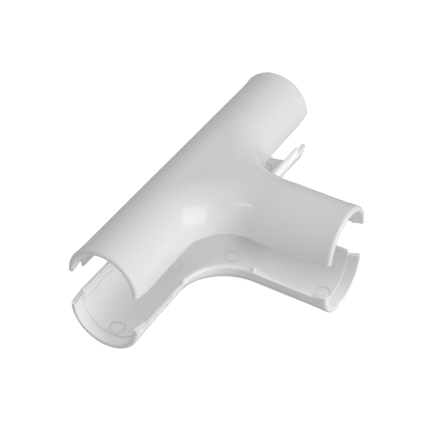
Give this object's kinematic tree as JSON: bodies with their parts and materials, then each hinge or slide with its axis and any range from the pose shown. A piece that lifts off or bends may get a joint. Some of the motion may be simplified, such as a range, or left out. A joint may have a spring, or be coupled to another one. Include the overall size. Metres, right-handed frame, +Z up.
{
  "type": "conduit tee",
  "caption": "Round conduit tee with swept inner corners, parted lengthwise into a base trough with lap-joint tongues and a press-on cover, shown with the cover lifted off.",
  "frame": {"origin": "on the flat underside, straight below the crossing of the run's and the branch's axes", "axes": "+X along the run, -Y along the branch and outwards, +Z up, the way the cover lifts"},
  "size_m": [0.105, 0.0645, 0.037],
  "materials": {
    "base_plastic": "white rigid PVC, moulded, half gloss",
    "cover_plastic": "white rigid PVC, moulded, half gloss"
  },
  "bodies": {
    "base": {"base_shell": "base_plastic"},
    "cover": {"cover_shell": "cover_plastic"}
  },
  "joints": [
    {"name": "cover_lift", "type": "slide", "parent": "base", "child": "cover", "axis": [0, 0, 1], "range_m": [-0.013, 0.027]}
  ]
}
